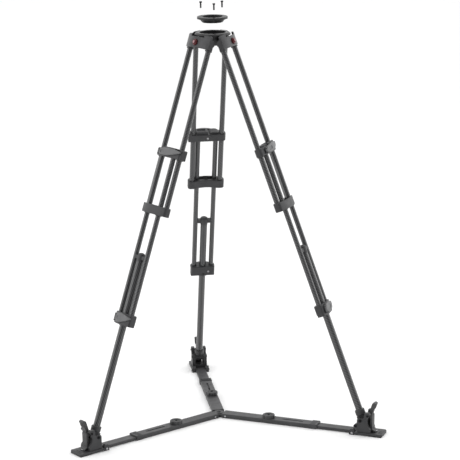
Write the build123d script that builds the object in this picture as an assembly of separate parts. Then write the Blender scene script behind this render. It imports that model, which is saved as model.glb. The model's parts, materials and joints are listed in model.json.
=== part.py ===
from build123d import *
import os
from math import cos, radians, sin, sqrt

# Twin-tube video tripod: bowl crown, lifted bowl adapter, three three-stage legs, ground spreader.
# World frame in mm: origin on the tripod's axis at floor level, +Z up, back leg towards +Y.
# Leg frame: origin on the hinge pin, +X along the pin, +Y out of the leg's front face, +Z up the leg.

# ------------------------------------------------------------------ driving dimensions
# Stance
LEG_TILT = 20.17                # leg from the vertical, degrees
HINGE_RADIUS = 54.7             # hinge pins from the tripod's axis
BRIDGE_STATION = 646.0          # hinge pin to the bridge that ends the outer tubes
UPPER_OVERLAP = 216.0           # slider clamp above the bridge, leg drawn out
MIDDLE_LENGTH = 640.0           # slider clamp to lower clamp
LOWER_LENGTH = 450.4            # lower clamp to ankle pin
LOWER_OVERLAP = 239.0           # tube guide above the lower clamp
ANKLE_HEIGHT = 57.3             # ankle pin above the floor
# Tubes
OUTER_TUBE_R = 10.0
OUTER_TUBE_SPACING = 111.2
INNER_TUBE_R = 9.5
INNER_TUBE_SPACING = 69.0
LOWER_TUBE_R = 13.5
TUBE_WALL = 1.6
INNER_OFFSET = 13.0             # inner and lower tubes stand this far outside the outer ones
SLIDE_CLEARANCE = 0.3           # radial, tube in a sliding casting
FIXED_CLEARANCE = 0.02          # radial, tube or pin held in its casting
RUNNING_CLEARANCE = 0.05        # radial, pin in a turning part
# Crown and adapter
CROWN_R = 67.0
CROWN_TOP_R = 62.0
CROWN_PLATE = 9.0
CROWN_TOP_ABOVE_HINGE = 34.0
CROWN_DEPTH = 46.0
BOWL_R = 50.0
BOWL_LAND = 6.0
BOWL_WALL = 6.0
BOWL_FLOOR_R = 30.0
LUG_R = 15.0
LUG_WIDTH = 58.0
HINGE_PIN_R = 5.0
HINGE_PIN_LENGTH = 92.0
ADAPTER_BOWL_R = 37.5
ADAPTER_LAND = 3.0
ADAPTER_FLANGE_R = 57.5
ADAPTER_FLANGE = 8.0
ADAPTER_HEIGHT = 21.0
ADAPTER_BASE_R = 39.0
ADAPTER_LIFT = 51.0             # adapter ring above its seat
SCREW_CIRCLE_R = 46.5
SCREW_R = 3.0
SCREW_HEAD_R = 5.0
SCREW_HEAD = 5.0
SCREW_LENGTH = 25.0             # with its head
SCREW_LIFT = 102.5              # adapter screws above their seats
# Shoulder
SHOULDER_WIDTH = 136.0
SHOULDER_TOP = 28.0
SHOULDER_FOOT = 24.0
SHOULDER_SIDE = 12.0            # front at its ends
SHOULDER_FRONT = 27.0           # front in the middle
SHOULDER_WALL = 7.0
SHOULDER_CORNER = 8.0
NOTCH_WIDTH = 76.0              # lets the crown's plate pass over the middle
NOTCH_FLOOR = 17.0
CHEEK_TOP = 14.0
EAR_R = 12.0
TUBE_SOCKET_R = 13.0
CAP_R = 11.5
CAP_HEIGHT = 11.8
CAP_SEAT = 24.2                 # the cap's seat, out from the hinge pin
CAP_UP = -5.0
# Castings on the tubes
BRIDGE_HEIGHT = 34.0
SLIDER_HEIGHT = 30.0
CLAMP_HEIGHT = 45.0
END_WALL = 4.5                  # metal outside a tube at a casting's end
WIDE_BACK = -14.0               # bridge and slider clamp, back and front at their ends
WIDE_SIDE = 14.0
BRIDGE_FRONT = 30.5             # bridge, front in the middle
BRIDGE_HOLLOW = 8.5             # how far its back curves in, in the middle
SLIDER_FRONT = 28.0             # slider clamp, front in the middle
HUMP_HEIGHT = 9.0
END_BLOCK = 16.0                # tall block on the slider clamp's -X end
END_BLOCK_OUT = 5.0             # how far it stands out past that end
CLAMP_BACK = -5.5               # lower clamp: back, front at the ends, front in the middle
CLAMP_SIDE = 24.0
CLAMP_FRONT = 34.0
CASTING_EDGE = 1.6
LEVER_THICK = 6.5
LEVER_GAP = 0.5
LEVER_DISH = 1.6
KNUCKLE_R = 4.6
LEVER_PIN_R = 2.0
UPPER_PIN_IN = 27.0             # lever pins from their castings' ends
LOWER_PIN_IN = 17.0
LEVER_RISE = 6.0                # levers' tips point up the leg, degrees
UPPER_LEVER_HINGE = 12.0
LOWER_LEVER_HINGE = 20.0
# Ankle and foot
SOCKET_R = 19.0
SOCKET_TOP = 38.0
SOCKET_FOOT = 14.0
TONGUE_R = 15.0
TONGUE_WIDTH = 32.8
CHEEK_GAP = 0.4
CHEEK_THICK = 13.7
ANKLE_PIN_R = 4.5
SOLE_HEIGHT = 12.4
LATCH_WIDTH = 28.0
LATCH_PIN_R = 3.0
LATCH_OUT = 29.0                # latch pin outside the ankle pin
LATCH_UP = 21.7                 # latch pin above the ankle pin
# Spreader
HUB_R = 19.0
HUB_PIN_OUT = 36.0
HUB_PIN_R = 3.0
CHANNEL_START = 20.5
CHANNEL_LENGTH = 387.0
CHANNEL_WIDTH = 46.0
CHANNEL_HEIGHT = 17.0
CHANNEL_WALL = 2.6
ARM_WIDTH = 40.0
ARM_HEIGHT = 11.0
ARM_LIFT = 2.0
ARM_OVERLAP = 107.0
COLLAR_LENGTH = 24.0
COLLAR_RIM = 2.0
SLOT_LENGTH = 87.0
SLOT_WIDTH = 7.0
KNOB_RADIUS_OUT = 209.0
KNOB_R = 24.0
KNOB_HEIGHT = 12.5
KNOB_STEM_R = 5.0
PLATE_WIDTH = 70.0
PLATE_TOP = 12.0
PLATE_LIFT = 3.5
PLATE_INNER = 43.0              # plate's inner end inside the ankle pin
PLATE_OUTER = 86.0              # plate's outer end outside the ankle pin
SOLE_LENGTH = 52.0
EAR_TOP = 24.0
ARM_PIN_R = 4.0
ARM_PIN_UP = 8.0

# ------------------------------------------------------------------ worked out from them
TILT_SIN = sin(radians(LEG_TILT))
TILT_COS = cos(radians(LEG_TILT))
SLIDER_STATION = BRIDGE_STATION - UPPER_OVERLAP
CLAMP_STATION = SLIDER_STATION + MIDDLE_LENGTH
GUIDE_STATION = CLAMP_STATION - LOWER_OVERLAP
LEG_LENGTH = CLAMP_STATION + LOWER_LENGTH
HINGE_HEIGHT = ANKLE_HEIGHT + LEG_LENGTH * TILT_COS - INNER_OFFSET * TILT_SIN
ANKLE_RADIUS = HINGE_RADIUS + LEG_LENGTH * TILT_SIN + INNER_OFFSET * TILT_COS
CROWN_TOP = HINGE_HEIGHT + CROWN_TOP_ABOVE_HINGE
OUTER_X = OUTER_TUBE_SPACING / 2
INNER_X = INNER_TUBE_SPACING / 2
CHANNEL_END = CHANNEL_START + CHANNEL_LENGTH
# Plans of the castings: half width, back, front at the ends, front in the middle
BRIDGE_PLAN = (OUTER_X + OUTER_TUBE_R + END_WALL + 1.5, WIDE_BACK, WIDE_SIDE, BRIDGE_FRONT)
SLIDER_PLAN = (OUTER_X + OUTER_TUBE_R + END_WALL + 1, WIDE_BACK, WIDE_SIDE, SLIDER_FRONT)
CLAMP_PLAN = (INNER_X + INNER_TUBE_R + END_WALL, CLAMP_BACK, CLAMP_SIDE, CLAMP_FRONT)
LEVER_PIN_X = {SLIDER_PLAN: SLIDER_PLAN[0] - UPPER_PIN_IN, CLAMP_PLAN: CLAMP_PLAN[0] - LOWER_PIN_IN}
TUBE_TOP = 12.0                 # outer tubes start this far below the hinge pin

LEG_AZIMUTHS = {"back": 0, "left": 120, "right": 240}
SCREW_AZIMUTHS = (30, 150, 270)


# ------------------------------------------------------------------ shapes used everywhere
def rod(radius, length, x=0.0, y=0.0, z=0.0):
    """A cylinder along Z from z upwards."""
    return Pos(x, y, z + length / 2) * Cylinder(radius, length)


def cross_rod(radius, length, y=0.0, z=0.0, x=0.0):
    """A cylinder along X, centred on x."""
    return Pos(x, y, z) * Rot(0, 90, 0) * Cylinder(radius, length)


def block(x, y, z):
    """A box between the given (low, high) pairs."""
    return Pos(sum(x) / 2, sum(y) / 2, sum(z) / 2) * Box(x[1] - x[0], y[1] - y[0], z[1] - z[0])


def tube(radius, wall, low, high, x=0.0, y=0.0):
    """A round tube along Z."""
    return rod(radius, high - low, x, y, low) - rod(radius - wall, high - low, x, y, low)


def side_profile(points, half_width, x=0.0):
    """A polygon of (y, z) points drawn out along X, both ways."""
    face = make_face(Polyline(*points, close=True))
    return Pos(x, 0, 0) * extrude(Plane.YZ * face, half_width, both=True)


def crescent(plan, low, high):
    """A casting's plan drawn out along Z: a flat back, and a front that swells in the middle."""
    half_width, back, side, front = plan
    outline = [
        Polyline((-half_width, side), (-half_width, back), (half_width, back), (half_width, side)),
        ThreePointArc((half_width, side), (0, front), (-half_width, side)),
    ]
    return Pos(0, 0, low) * extrude(make_face(outline), high - low)


def front_arc(plan):
    """Radius and centre y of a plan's front arc."""
    half_width, _, side, front = plan
    swell = front - side
    radius = (half_width**2 + swell**2) / (2 * swell)
    return radius, front - radius


def soften(piece, length):
    """Round the edges that run round the top and the bottom."""
    low = piece.faces().sort_by(Axis.Z)[0]
    high = piece.faces().sort_by(Axis.Z)[-1]
    return chamfer(low.outer_wire().edges() + high.outer_wire().edges(), length)


def place_leg(piece, azimuth):
    """Leg frame to world."""
    return Rot(0, 0, azimuth) * Pos(0, HINGE_RADIUS, HINGE_HEIGHT) * Rot(LEG_TILT, 0, 0) * piece


def place_arm(piece, azimuth):
    """A piece drawn for the back leg, upright, to its own leg."""
    return Rot(0, 0, azimuth) * piece


# ------------------------------------------------------------------ crown and adapter
def bowl_hollow():
    """What the crown's bowl leaves open: a land, a ball seat and a hole through the floor."""
    depth = CROWN_DEPTH - BOWL_WALL - BOWL_LAND
    ball = Pos(0, 0, CROWN_TOP - BOWL_LAND) * Sphere(BOWL_R)
    seat = ball & rod(BOWL_R, depth, z=CROWN_TOP - BOWL_LAND - depth)
    return (
        rod(BOWL_R, BOWL_LAND + 1, z=CROWN_TOP - BOWL_LAND)
        + seat
        + rod(BOWL_FLOOR_R, CROWN_DEPTH + 1, z=CROWN_TOP - CROWN_DEPTH - 1)
    )


def crown_casting():
    edge = CROWN_PLATE / 2
    neck_length = CROWN_PLATE + 3
    cone = Pos(0, 0, CROWN_TOP - edge / 2) * Cone(CROWN_R, CROWN_TOP_R, edge)
    rim = rod(CROWN_R, CROWN_PLATE - edge, z=CROWN_TOP - CROWN_PLATE)
    ball = Pos(0, 0, CROWN_TOP - BOWL_LAND) * Sphere(BOWL_R + BOWL_WALL)
    cup = ball & rod(CROWN_TOP_R, CROWN_DEPTH, z=CROWN_TOP - CROWN_DEPTH)
    neck = rod(BOWL_R + BOWL_WALL, neck_length, z=CROWN_TOP - neck_length)
    body = cone + rim + cup + neck
    for azimuth in LEG_AZIMUTHS.values():
        lug = cross_rod(LUG_R, LUG_WIDTH, HINGE_RADIUS, HINGE_HEIGHT)
        web = block(
            (-LUG_WIDTH / 2 + 4, LUG_WIDTH / 2 - 4),
            (BOWL_FLOOR_R + 4, HINGE_RADIUS),
            (HINGE_HEIGHT - LUG_R + 5, HINGE_HEIGHT + LUG_R - 3),
        )
        body += Rot(0, 0, azimuth) * (lug + web)
    body -= bowl_hollow()
    for azimuth in LEG_AZIMUTHS.values():
        bore = cross_rod(HINGE_PIN_R + FIXED_CLEARANCE, LUG_WIDTH + 2, HINGE_RADIUS, HINGE_HEIGHT)
        body -= Rot(0, 0, azimuth) * bore
    for azimuth in SCREW_AZIMUTHS:
        hole = rod(SCREW_R + RUNNING_CLEARANCE, SCREW_LENGTH + 3, SCREW_CIRCLE_R)
        body -= Rot(0, 0, azimuth) * Pos(0, 0, CROWN_TOP - SCREW_LENGTH) * hole
    return body


def hinge_pins():
    pin = cross_rod(HINGE_PIN_R, HINGE_PIN_LENGTH, HINGE_RADIUS, HINGE_HEIGHT)
    return [Rot(0, 0, azimuth) * pin for azimuth in LEG_AZIMUTHS.values()]


def adapter_ring():
    top = ADAPTER_FLANGE
    bottom = top - ADAPTER_HEIGHT
    flange = chamfer(rod(ADAPTER_FLANGE_R, ADAPTER_FLANGE).edges().group_by(Axis.Z)[-1], 1.2)
    ball = Pos(0, 0, -BOWL_LAND) * Sphere(BOWL_R - 0.4)
    body = ball & rod(BOWL_R - 0.4, -bottom, z=bottom)
    taper = Pos(0, 0, bottom / 2) * Cone(ADAPTER_BASE_R, BOWL_R - 0.4, -bottom)
    seat = Pos(0, 0, top - ADAPTER_LAND) * Sphere(ADAPTER_BOWL_R)
    hollow = seat & rod(ADAPTER_BOWL_R, ADAPTER_HEIGHT, z=bottom - 1)
    hollow += rod(ADAPTER_BOWL_R, ADAPTER_LAND + 1, z=top - ADAPTER_LAND)
    ring = flange + (body & taper) - hollow
    for azimuth in SCREW_AZIMUTHS:
        hole = rod(SCREW_R + 0.3, ADAPTER_HEIGHT + 2, SCREW_CIRCLE_R, z=bottom - 1)
        counterbore = rod(SCREW_HEAD_R + 0.4, 4, SCREW_CIRCLE_R, z=top - 2)
        ring -= Rot(0, 0, azimuth) * (hole + counterbore)
    return Pos(0, 0, CROWN_TOP + ADAPTER_LIFT) * ring


def adapter_screws():
    """Socket-head screws; their heads sit in the adapter's counterbores when they are home."""
    shank = rod(SCREW_R, SCREW_LENGTH - SCREW_HEAD, z=-SCREW_LENGTH + SCREW_HEAD)
    head = chamfer(rod(SCREW_HEAD_R, SCREW_HEAD).edges().group_by(Axis.Z)[-1], 0.6)
    socket = Pos(0, 0, 2) * extrude(RegularPolygon(2.5, 6), 4)
    screw = shank + head - socket
    seat = CROWN_TOP + ADAPTER_FLANGE - 2
    turned = [Rot(0, 0, a) * Pos(SCREW_CIRCLE_R, 0, seat + SCREW_LIFT) for a in SCREW_AZIMUTHS]
    return [at * screw for at in turned]


# ------------------------------------------------------------------ leg, stage 1
def shoulder():
    """A bowed wall with an ear at each end that turns on the hinge pin and holds an outer tube."""
    half = SHOULDER_WIDTH / 2
    ear_in = LUG_WIDTH / 2 + 0.5
    plan = (half, 0, SHOULDER_SIDE, SHOULDER_FRONT)
    radius, centre = front_arc(plan)
    solid = soften(crescent(plan, -SHOULDER_FOOT, SHOULDER_TOP), 2.0)
    body = solid - rod(radius - SHOULDER_WALL, 120, 0, centre, -60)
    body -= block((-NOTCH_WIDTH / 2, NOTCH_WIDTH / 2), (-1, 60), (NOTCH_FLOOR, 60))
    for side in (-1, 1):
        ear = cross_rod(EAR_R, half - ear_in, x=side * (half + ear_in) / 2)
        cheek = solid & block(
            sorted((side * ear_in, side * half)), (0, 60), (-SHOULDER_FOOT + 1, CHEEK_TOP)
        )
        socket = rod(TUBE_SOCKET_R, SHOULDER_FOOT + 6, side * OUTER_X, 0, -SHOULDER_FOOT - 6)
        body += ear + cheek + socket
    corners = block((-half, half), (-40, 60), (-SHOULDER_FOOT - 8, SHOULDER_TOP))
    body &= fillet(corners.edges().filter_by(Axis.Y), SHOULDER_CORNER)
    for side in (-1, 1):
        body -= rod(OUTER_TUBE_R + FIXED_CLEARANCE, 60, side * OUTER_X, 0, -TUBE_TOP - 60)
    body -= Pos(0, CAP_SEAT, CAP_UP) * Rot(-90, 0, 0) * rod(CAP_R + 0.6, 20)
    return body - cross_rod(HINGE_PIN_R + RUNNING_CLEARANCE, HINGE_PIN_LENGTH + 2)


def hinge_cap():
    """A knurl-free round cap on a wider ring, on the front of the shoulder."""
    ring = Rot(-90, 0, 0) * rod(CAP_R, CAP_HEIGHT - 3)
    ring = chamfer(ring.edges().group_by(Axis.Y)[-1], 1.5)
    centre = Rot(-90, 0, 0) * rod(CAP_R * 0.55, 3)
    centre = chamfer(centre.edges().group_by(Axis.Y)[-1], 1.0)
    return [
        Pos(0, CAP_SEAT, CAP_UP) * ring,
        Pos(0, CAP_SEAT + CAP_HEIGHT - 3, CAP_UP) * centre,
    ]


def outer_tubes():
    low = -BRIDGE_STATION - BRIDGE_HEIGHT / 2 + END_WALL
    return [tube(OUTER_TUBE_R, TUBE_WALL, low, -TUBE_TOP, side * OUTER_X) for side in (-1, 1)]


def bridge():
    """Ends the outer tubes; the inner tubes and the lower tube slide through its opening."""
    low = -BRIDGE_STATION - BRIDGE_HEIGHT / 2
    high = low + BRIDGE_HEIGHT
    body = crescent(BRIDGE_PLAN, low, high)
    reach = OUTER_X - OUTER_TUBE_R
    hollow_r = (reach**2 + BRIDGE_HOLLOW**2) / (2 * BRIDGE_HOLLOW)
    body -= rod(hollow_r, BRIDGE_HEIGHT + 2, 0, WIDE_BACK + BRIDGE_HOLLOW - hollow_r, low - 1)
    ends = body.edges().filter_by(Axis.Z).filter_by_position(Axis.X, OUTER_X, 2 * OUTER_X)
    ends += body.edges().filter_by(Axis.Z).filter_by_position(Axis.X, -2 * OUTER_X, -OUTER_X)
    body = fillet(ends, 11)
    body = soften(body, 1.6)
    for side in (-1, 1):
        body -= rod(OUTER_TUBE_R + FIXED_CLEARANCE, BRIDGE_HEIGHT, side * OUTER_X, 0, low + END_WALL)
        body -= rod(
            INNER_TUBE_R + SLIDE_CLEARANCE, BRIDGE_HEIGHT + 2, side * INNER_X, INNER_OFFSET, low - 1
        )
    body -= block(
        (-INNER_X, INNER_X),
        (INNER_OFFSET - INNER_TUBE_R, INNER_OFFSET + INNER_TUBE_R),
        (low - 1, high + 1),
    )
    return body - rod(LOWER_TUBE_R + 1.6, BRIDGE_HEIGHT + 2, 0, INNER_OFFSET, low - 1)


# ------------------------------------------------------------------ leg, stage 2
def lever_pivot(plan):
    """Where a lock lever's pin stands in front of the casting, (x, y)."""
    radius, centre = front_arc(plan)
    x = LEVER_PIN_X[plan]
    return x, centre + sqrt((radius + LEVER_GAP + KNUCKLE_R) ** 2 - x**2)


def pivot_lugs(plan, station, lever_height):
    """Two lugs that hold a lock lever's pin, and the pin."""
    x, y = lever_pivot(plan)
    lug = 4.0
    gap = lever_height / 2 + 0.4
    body = rod(LEVER_PIN_R, 2 * (gap + lug), x, y, -station - gap - lug)
    for low in (-station + gap, -station - gap - lug):
        body += rod(KNUCKLE_R, lug, x, y, low)
        body += block((x - KNUCKLE_R, x + KNUCKLE_R), (y - 12, y), (low, low + lug))
    return body


def slider_clamp():
    """Slides on the outer tubes and ends the inner ones; the two humps house the lock."""
    low = -SLIDER_STATION - SLIDER_HEIGHT / 2
    high = low + SLIDER_HEIGHT
    body = crescent(SLIDER_PLAN, low, high)
    body = fillet(body.edges().filter_by(Axis.Z), 12)
    body = soften(body, 1.6)
    hump = block((-44, 1), (-9, 22), (high - 1, high + HUMP_HEIGHT))
    hump = chamfer(hump.edges().group_by(Axis.Z)[-1], 2.5)
    dome_r = 24
    dome = Pos(26, 7, high + HUMP_HEIGHT - dome_r) * Rot(-90, 0, 0) * Cylinder(dome_r, 28)
    dome &= block((6, 46), (-9, 24), (high - 1, high + HUMP_HEIGHT + 1))
    end = block(
        (-SLIDER_PLAN[0] - END_BLOCK_OUT, -SLIDER_PLAN[0] - END_BLOCK_OUT + END_BLOCK),
        (WIDE_BACK + 1, WIDE_SIDE - 0.5),
        (low - 1, high + HUMP_HEIGHT - 1),
    )
    body += hump + dome + chamfer(end.edges(), 2.0)
    body -= block((-40, -8), (-4, 17), (high + HUMP_HEIGHT - 3, high + HUMP_HEIGHT + 3))
    body += pivot_lugs(SLIDER_PLAN, SLIDER_STATION, UPPER_LEVER_HINGE)
    for side in (-1, 1):
        body -= rod(
            OUTER_TUBE_R + SLIDE_CLEARANCE, SLIDER_HEIGHT + HUMP_HEIGHT + 4, side * OUTER_X, 0, low - 2
        )
        body -= rod(
            INNER_TUBE_R + FIXED_CLEARANCE, SLIDER_HEIGHT, side * INNER_X, INNER_OFFSET, low - END_WALL
        )
    return body


def front_band(plan, low, high):
    """A wall that follows the casting's front, between two distances out from it."""
    radius, centre = front_arc(plan)
    return rod(radius + high, 60, 0, centre, -30) - rod(radius + low, 62, 0, centre, -31)


def leaf_outline(start, tip, wide, belly):
    """A leaf in X and Z: blunt at start, widest a third along, pointed at the tip."""
    third = start + (tip - start) / 3
    near_tip = tip + 4
    upper = Spline((start, wide / 2), (third, belly / 2), (near_tip, 3.5))
    lower = Spline((start, -wide / 2), (third, -belly / 2), (near_tip, -3.5))
    nose = ThreePointArc((near_tip, 3.5), (tip, 0), (near_tip, -3.5))
    return make_face([Line((start, -wide / 2), (start, wide / 2)), upper, nose, lower])


def lock_lever(plan, station, hinge_height, wide, belly, tip):
    """A leaf-shaped lever that follows the casting's front, hinged at its blunt end."""
    pivot_x, pivot_y = lever_pivot(plan)
    start = pivot_x - 7
    outside = LEVER_GAP + LEVER_THICK
    risen = Pos(pivot_x, 0, 0) * Rot(0, LEVER_RISE, 0) * Pos(-pivot_x, 0, 0)
    leaf = risen * extrude(Plane.XZ * leaf_outline(start, tip, wide, belly), 80, both=True)
    leaf &= block((-plan[0], plan[0]), (0, 80), (-30, 30))
    link = block((start - 6, pivot_x), (0, 80), (-hinge_height / 2, hinge_height / 2))
    body = front_band(plan, LEVER_GAP, outside) & (leaf + link)
    slot = extrude(Plane.XZ * SlotOverall(30, belly * 0.42), 80, both=True)
    dish = front_band(plan, outside - LEVER_DISH, outside + 5)
    body -= dish & (risen * Pos(start - 22, 0, 0) * slot) & block((-90, 90), (0, 80), (-30, 30))
    body += rod(KNUCKLE_R, hinge_height, pivot_x, pivot_y, -hinge_height / 2)
    bore = rod(LEVER_PIN_R + RUNNING_CLEARANCE, 60, pivot_x, pivot_y, -30)
    return Pos(0, 0, -station) * (body - bore)


def inner_tubes():
    low = -CLAMP_STATION - CLAMP_HEIGHT / 2 + END_WALL
    high = -SLIDER_STATION + SLIDER_HEIGHT / 2 - END_WALL
    return [
        tube(INNER_TUBE_R, TUBE_WALL, low, high, side * INNER_X, INNER_OFFSET) for side in (-1, 1)
    ]


def lower_clamp():
    """Ends the inner tubes and grips the lower tube."""
    low = -CLAMP_STATION - CLAMP_HEIGHT / 2
    high = low + CLAMP_HEIGHT
    half = CLAMP_PLAN[0]
    body = crescent(CLAMP_PLAN, low, high)
    body = fillet(body.edges().filter_by(Axis.Z), 8)
    body = soften(body, 2.0)
    body -= block((-half, -15), (-20, -1), (low - 1, low + 9))
    body -= block((15, half), (-20, -1), (low - 1, low + 9))
    body += pivot_lugs(CLAMP_PLAN, CLAMP_STATION, LOWER_LEVER_HINGE)
    for side in (-1, 1):
        body -= rod(
            INNER_TUBE_R + FIXED_CLEARANCE, CLAMP_HEIGHT, side * INNER_X, INNER_OFFSET, low + END_WALL
        )
    return body - rod(LOWER_TUBE_R + SLIDE_CLEARANCE, CLAMP_HEIGHT + 2, 0, INNER_OFFSET, low - 1)


# ------------------------------------------------------------------ leg, stage 3
def lower_tube():
    low = -LEG_LENGTH + SOCKET_FOOT + 4
    return [tube(LOWER_TUBE_R, TUBE_WALL, low, -GUIDE_STATION - 2, 0, INNER_OFFSET)]


def tube_guide():
    """Tops the lower tube with a domed cap and runs between the inner tubes."""
    high = -GUIDE_STATION + 6
    wing = block(
        (-INNER_X, INNER_X), (INNER_OFFSET - 8, INNER_OFFSET + 8), (high - 14, high)
    )
    cap = rod(LOWER_TUBE_R + 1.0, 26, 0, INNER_OFFSET, high - 22)
    dome = Pos(0, INNER_OFFSET, high - 9) * Sphere(LOWER_TUBE_R + 6.5)
    dome &= rod(LOWER_TUBE_R + 1.0, 20, 0, INNER_OFFSET, high)
    body = wing + cap + dome
    for side in (-1, 1):
        body -= rod(INNER_TUBE_R + SLIDE_CLEARANCE, 60, side * INNER_X, INNER_OFFSET, high - 40)
    return body - rod(LOWER_TUBE_R + FIXED_CLEARANCE, 40, 0, INNER_OFFSET, -GUIDE_STATION - 42)


def ankle_socket():
    """Holds the lower tube; its tongue turns on the ankle pin between the foot's cheeks."""
    pin = -LEG_LENGTH
    collar = rod(SOCKET_R, SOCKET_TOP - SOCKET_FOOT - 6, 0, INNER_OFFSET, pin + SOCKET_FOOT + 6)
    collar = chamfer(collar.edges().group_by(Axis.Z)[-1], 1.5)
    neck = Pos(0, INNER_OFFSET, pin + SOCKET_FOOT + 3) * Cone(TONGUE_WIDTH / 2, SOCKET_R, 6)
    tongue = cross_rod(TONGUE_R, TONGUE_WIDTH, INNER_OFFSET, pin)
    web = block(
        (-TONGUE_WIDTH / 2, TONGUE_WIDTH / 2),
        (INNER_OFFSET - TONGUE_R + 1, INNER_OFFSET + TONGUE_R - 1),
        (pin, pin + SOCKET_FOOT + 1),
    )
    body = collar + neck + tongue + web
    body -= rod(LOWER_TUBE_R + FIXED_CLEARANCE, 60, 0, INNER_OFFSET, pin + SOCKET_FOOT + 4)
    return body - cross_rod(ANKLE_PIN_R + RUNNING_CLEARANCE, 80, INNER_OFFSET, pin)


# ------------------------------------------------------------------ foot, drawn for the back leg
def foot():
    """A fork: two cheeks with a hollow front on a flat base, and the ankle pin across them."""
    centre = ANKLE_RADIUS
    inner = centre - 13
    outer = centre + 41
    cheek_in = TONGUE_WIDTH / 2 + CHEEK_GAP
    outline = [
        Polyline(
            (outer, SOLE_HEIGHT),
            (inner, SOLE_HEIGHT),
            (inner, ANKLE_HEIGHT + 4),
            (inner + 6, ANKLE_HEIGHT + 10.5),
            (centre + 14, ANKLE_HEIGHT + 10.5),
            (centre + 17, ANKLE_HEIGHT + 33),
            (outer - 6, ANKLE_HEIGHT + 34.5),
            (outer - 2, ANKLE_HEIGHT + 27),
        ),
        ThreePointArc(
            (outer - 2, ANKLE_HEIGHT + 27), (centre + 27, ANKLE_HEIGHT - 3), (outer - 1, SOLE_HEIGHT + 14)
        ),
        Line((outer - 1, SOLE_HEIGHT + 14), (outer, SOLE_HEIGHT)),
    ]
    cheek = extrude(Plane.YZ * make_face(outline), CHEEK_THICK)
    body = block(
        (-cheek_in - CHEEK_THICK, cheek_in + CHEEK_THICK), (inner, outer - 14), (SOLE_HEIGHT, SOLE_HEIGHT + 11)
    )
    for x in (cheek_in, -cheek_in - CHEEK_THICK):
        body += Pos(x, 0, 0) * cheek
    body -= block((-LATCH_WIDTH / 2 - 1, LATCH_WIDTH / 2 + 1), (outer - 14.1, outer + 5), (0, 200))
    body -= cross_rod(ANKLE_PIN_R + FIXED_CLEARANCE, 90, centre, ANKLE_HEIGHT)
    pin_half = cheek_in + CHEEK_THICK + 1.5
    pin = cross_rod(ANKLE_PIN_R, 2 * pin_half, centre, ANKLE_HEIGHT)
    latch_bore = cross_rod(LATCH_PIN_R + FIXED_CLEARANCE, 90, centre + LATCH_OUT, ANKLE_HEIGHT + LATCH_UP)
    latch_pin = cross_rod(LATCH_PIN_R, 2 * pin_half - 1, centre + LATCH_OUT, ANKLE_HEIGHT + LATCH_UP)
    return [body - latch_bore, pin, latch_pin]


def foot_latch():
    """A sprung lever on the front of the foot: thumb pad above, toe on the base plate below."""
    y = ANKLE_RADIUS + LATCH_OUT
    z = ANKLE_HEIGHT + LATCH_UP
    half = LATCH_WIDTH / 2
    barrel = cross_rod(7.0, LATCH_WIDTH, y, z)
    apron = side_profile(
        [
            (y + 1, z - 6), (y + 6, z + 4), (y + 15, z - 1), (y + 14, PLATE_TOP + 12),
            (y + 26, PLATE_TOP + 5), (y + 27, PLATE_TOP + 1), (y + 15, PLATE_TOP + 1.5),
            (y + 7, PLATE_TOP + 8), (y + 6, z - 14),
        ],
        half,
    )
    shaft = side_profile(
        [(y - 2, z + 4), (y + 5, z + 26), (y + 19, z + 25), (y + 12, z)], half - 5
    )
    pad = side_profile(
        [(y + 5, z + 22), (y + 13, z + 46), (y + 21, z + 50), (y + 29, z + 46), (y + 20, z + 22)],
        half - 2,
    )
    pad = fillet(pad.edges().filter_by(Axis.X), 2.0)
    body = barrel + apron + shaft + pad
    return body - cross_rod(LATCH_PIN_R + RUNNING_CLEARANCE, 80, y, z)


# ------------------------------------------------------------------ ground spreader
def spreader_hub():
    body = rod(HUB_R, CHANNEL_HEIGHT - 1)
    half = ARM_WIDTH / 2 - 0.2
    tongue_low = CHANNEL_WALL * 0.6 + 0.4
    for azimuth in LEG_AZIMUTHS.values():
        tongue = block((-half, half), (0, CHANNEL_START + 34), (tongue_low, tongue_low + ARM_HEIGHT))
        body += Rot(0, 0, azimuth) * tongue
    body = body & rod(CHANNEL_START + 40, CHANNEL_HEIGHT - 1)
    for azimuth in LEG_AZIMUTHS.values():
        bore = cross_rod(HUB_PIN_R + FIXED_CLEARANCE, 80, HUB_PIN_OUT, CHANNEL_HEIGHT / 2)
        body -= Rot(0, 0, azimuth) * bore
    return body


def hub_pins():
    pin = cross_rod(HUB_PIN_R, CHANNEL_WIDTH + 3, HUB_PIN_OUT, CHANNEL_HEIGHT / 2)
    return [Rot(0, 0, azimuth) * pin for azimuth in LEG_AZIMUTHS.values()]


def channel():
    """A flat box section, open at both ends, with a slot in its top."""
    half = CHANNEL_WIDTH / 2
    body = block((-half, half), (CHANNEL_START, CHANNEL_END), (0, CHANNEL_HEIGHT))
    body = chamfer(body.edges().filter_by(Axis.Y), 1.5)
    hollow = ARM_WIDTH / 2 + 0.4
    body -= block(
        (-hollow, hollow),
        (CHANNEL_START - 1, CHANNEL_END + 1),
        (ARM_LIFT - 0.4, ARM_LIFT + ARM_HEIGHT + 0.4),
    )
    slot_end = CHANNEL_END - 56
    slot_wide = SlotOverall(SLOT_LENGTH, SLOT_WIDTH, rotation=90)
    body -= Pos(0, slot_end - SLOT_LENGTH / 2, CHANNEL_HEIGHT - 6) * extrude(slot_wide, 10)
    body -= rod(KNOB_STEM_R + RUNNING_CLEARANCE, 20, 0, KNOB_RADIUS_OUT, CHANNEL_HEIGHT - 8)
    return body - cross_rod(HUB_PIN_R + FIXED_CLEARANCE, 80, HUB_PIN_OUT, CHANNEL_HEIGHT / 2)


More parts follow.
